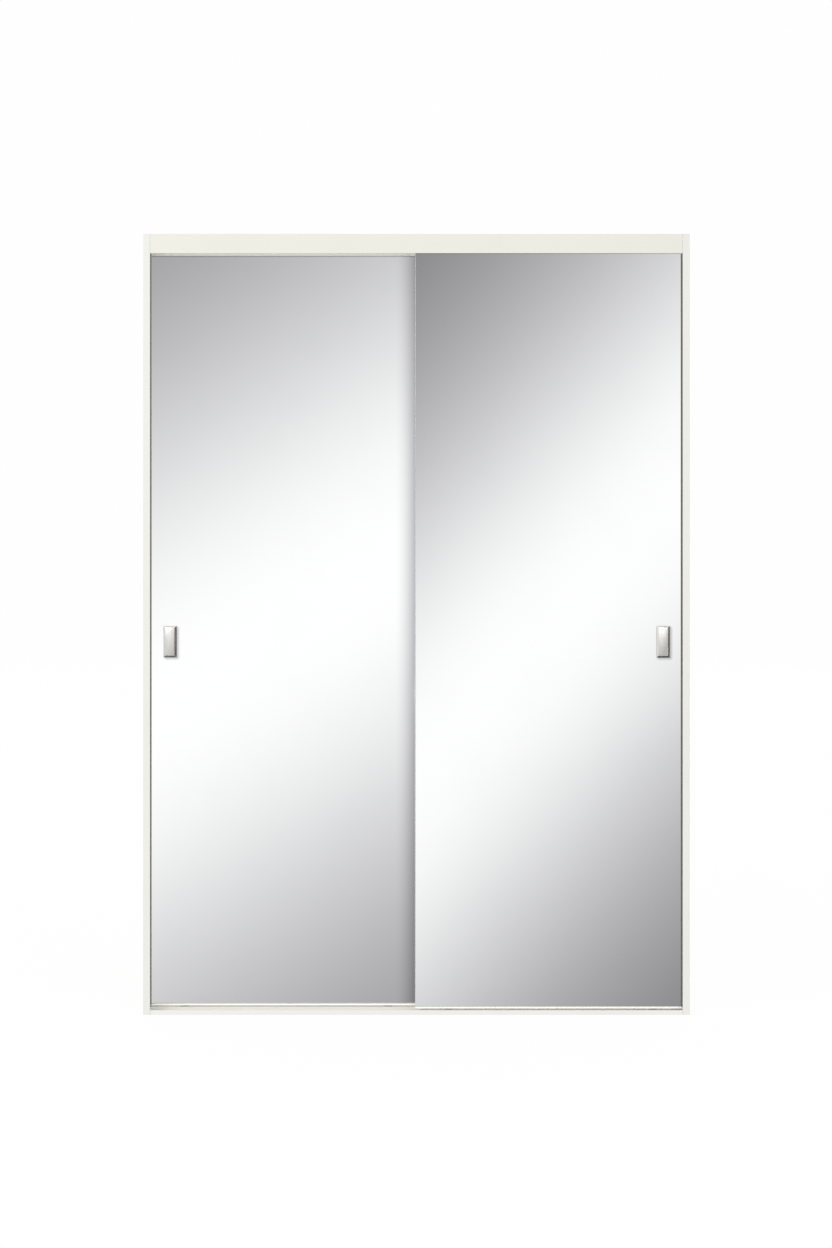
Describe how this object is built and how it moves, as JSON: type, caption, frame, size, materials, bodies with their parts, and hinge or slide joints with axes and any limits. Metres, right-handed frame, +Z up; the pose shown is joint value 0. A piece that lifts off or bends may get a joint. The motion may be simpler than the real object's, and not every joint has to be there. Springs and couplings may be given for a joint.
{
  "type": "mirrored sliding closet door",
  "caption": "Bypass closet door set: full-height mirror panels with bevelled finger pulls roll past each other in a shallow off-white head track, sill track and jambs.",
  "frame": {"origin": "on the floor under the middle of the frame", "axes": "+X to the right along the tracks, +Y from the room into the closet, +Z up"},
  "size_m": [1.47, 0.086, 2.1],
  "materials": {
    "powder_coat": "satin off-white powder coat on aluminium",
    "silvered_glass": "polished silvered float glass",
    "board": "plain hardboard",
    "foam": "matte foam tape",
    "brushed_nickel": "vertically brushed nickel",
    "zinc_steel": "zinc plated",
    "nylon": "moulded nylon",
    "pile": "short grey pile"
  },
  "bodies": {
    "frame": {"head_track": "powder_coat", "sill_track": "powder_coat", "left_jamb": "powder_coat", "right_jamb": "powder_coat", "left_front_pile_strip": "pile", "left_rear_pile_strip": "pile", "right_front_pile_strip": "pile", "right_rear_pile_strip": "pile", "left_jamb_brush": "pile", "right_jamb_brush": "pile"},
    "front_door": {"front_door_mirror": "silvered_glass", "front_door_backing_board": "board", "front_door_top_rail": "powder_coat", "front_door_bottom_rail": "powder_coat", "front_door_left_stile": "powder_coat", "front_door_right_stile": "powder_coat", "front_door_left_mirror_tape": "foam", "front_door_right_mirror_tape": "foam", "front_door_top_left_screw": "zinc_steel", "front_door_top_right_screw": "zinc_steel", "front_door_bottom_left_screw": "zinc_steel", "front_door_bottom_right_screw": "zinc_steel", "front_door_left_top_guide": "nylon", "front_door_right_top_guide": "nylon", "front_door_pull": "brushed_nickel", "front_door_pull_pad": "foam"},
    "front_left_carriage": {"front_door_left_roller_bracket": "zinc_steel", "front_door_left_roller_axle": "zinc_steel", "front_door_left_roller_clamp_screw": "zinc_steel"},
    "front_left_wheel": {"front_door_left_roller_wheel": "nylon"},
    "front_right_carriage": {"front_door_right_roller_bracket": "zinc_steel", "front_door_right_roller_axle": "zinc_steel", "front_door_right_roller_clamp_screw": "zinc_steel"},
    "front_right_wheel": {"front_door_right_roller_wheel": "nylon"},
    "rear_door": {"rear_door_mirror": "silvered_glass", "rear_door_backing_board": "board", "rear_door_top_rail": "powder_coat", "rear_door_bottom_rail": "powder_coat", "rear_door_left_stile": "powder_coat", "rear_door_right_stile": "powder_coat", "rear_door_left_mirror_tape": "foam", "rear_door_right_mirror_tape": "foam", "rear_door_top_left_screw": "zinc_steel", "rear_door_top_right_screw": "zinc_steel", "rear_door_bottom_left_screw": "zinc_steel", "rear_door_bottom_right_screw": "zinc_steel", "rear_door_left_top_guide": "nylon", "rear_door_right_top_guide": "nylon", "rear_door_pull": "brushed_nickel", "rear_door_pull_pad": "foam"},
    "rear_left_carriage": {"rear_door_left_roller_bracket": "zinc_steel", "rear_door_left_roller_axle": "zinc_steel", "rear_door_left_roller_clamp_screw": "zinc_steel"},
    "rear_left_wheel": {"rear_door_left_roller_wheel": "nylon"},
    "rear_right_carriage": {"rear_door_right_roller_bracket": "zinc_steel", "rear_door_right_roller_axle": "zinc_steel", "rear_door_right_roller_clamp_screw": "zinc_steel"},
    "rear_right_wheel": {"rear_door_right_roller_wheel": "nylon"}
  },
  "joints": [
    {"name": "front_door_slide", "type": "slide", "parent": "frame", "child": "front_door", "axis": [-1, 0, 0], "range_m": [0, 0.7258]},
    {"name": "rear_door_slide", "type": "slide", "parent": "frame", "child": "rear_door", "axis": [1, 0, 0], "range_m": [-0.0089, 0.7169]},
    {"name": "front_left_roller_height", "type": "slide", "parent": "front_door", "child": "front_left_carriage", "axis": [0, 0, 1], "range_m": [0, 0.004]},
    {"name": "front_right_roller_height", "type": "slide", "parent": "front_door", "child": "front_right_carriage", "axis": [0, 0, 1], "range_m": [0, 0.004]},
    {"name": "rear_left_roller_height", "type": "slide", "parent": "rear_door", "child": "rear_left_carriage", "axis": [0, 0, 1], "range_m": [0, 0.004]},
    {"name": "rear_right_roller_height", "type": "slide", "parent": "rear_door", "child": "rear_right_carriage", "axis": [0, 0, 1], "range_m": [0, 0.004]},
    {"name": "front_left_wheel_spin", "type": "hinge", "parent": "front_left_carriage", "child": "front_left_wheel", "pos_m": [0.0869, -0.021, 0.0198], "axis": [0, 1, 0], "continuous": true},
    {"name": "front_right_wheel_spin", "type": "hinge", "parent": "front_right_carriage", "child": "front_right_wheel", "pos_m": [0.6389, -0.021, 0.0198], "axis": [0, 1, 0], "continuous": true},
    {"name": "rear_left_wheel_spin", "type": "hinge", "parent": "rear_left_carriage", "child": "rear_left_wheel", "pos_m": [-0.63, 0.021, 0.0198], "axis": [0, 1, 0], "continuous": true},
    {"name": "rear_right_wheel_spin", "type": "hinge", "parent": "rear_right_carriage", "child": "rear_right_wheel", "pos_m": [-0.078, 0.021, 0.0198], "axis": [0, 1, 0], "continuous": true}
  ],
  "couplings": [
    {"joint": "front_left_wheel_spin", "follows": "front_door_slide", "rad_per_m": -86.957},
    {"joint": "front_right_wheel_spin", "follows": "front_door_slide", "rad_per_m": -86.957},
    {"joint": "rear_left_wheel_spin", "follows": "rear_door_slide", "rad_per_m": 86.957},
    {"joint": "rear_right_wheel_spin", "follows": "rear_door_slide", "rad_per_m": 86.957}
  ]
}
